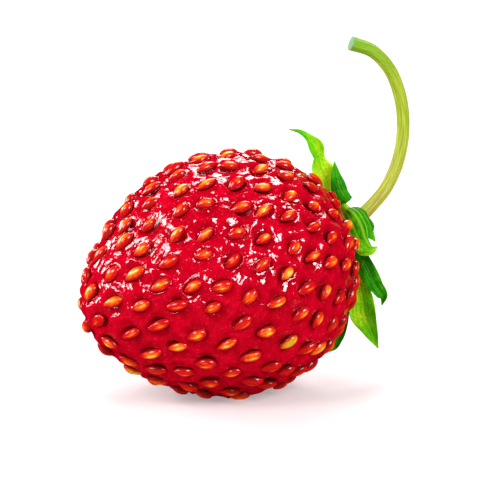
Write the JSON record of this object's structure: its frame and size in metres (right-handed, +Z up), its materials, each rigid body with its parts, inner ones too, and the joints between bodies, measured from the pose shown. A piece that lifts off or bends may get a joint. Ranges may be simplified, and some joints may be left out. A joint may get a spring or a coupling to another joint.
{
  "type": "wild strawberry",
  "caption": "Ripe wild strawberry lying on its side, a blunt cone studded with raised achenes, with a leafy calyx and a bowed, cut stalk.",
  "frame": {"origin": "Middle of the small flat spot that the berry rests on.", "axes": "+Z up. The berry's axis lies in the XZ plane: its tip points to -X, a little downwards, and its calyx end faces +X. +Y completes the right-handed frame."},
  "size_m": [0.026, 0.0167, 0.0225],
  "materials": {
    "flesh": "wet, glossy, translucent red flesh",
    "achene": "glossy orange-red seed with fine streaks",
    "calyx_disc": "soft green plant tissue",
    "sepal": "veined yellow-green leaf",
    "bractlet": "veined dark green leaf",
    "pedicel": "ribbed yellow-green stalk"
  },
  "bodies": {
    "root": {"berry": "flesh", "calyx_disc": "calyx_disc", "sepal_1": "sepal", "sepal_2": "sepal", "sepal_3": "sepal", "sepal_4": "sepal", "sepal_5": "sepal", "bractlet_1": "bractlet", "bractlet_2": "bractlet", "bractlet_3": "bractlet", "bractlet_4": "bractlet", "bractlet_5": "bractlet", "pedicel": "pedicel"}
  },
  "joints": []
}
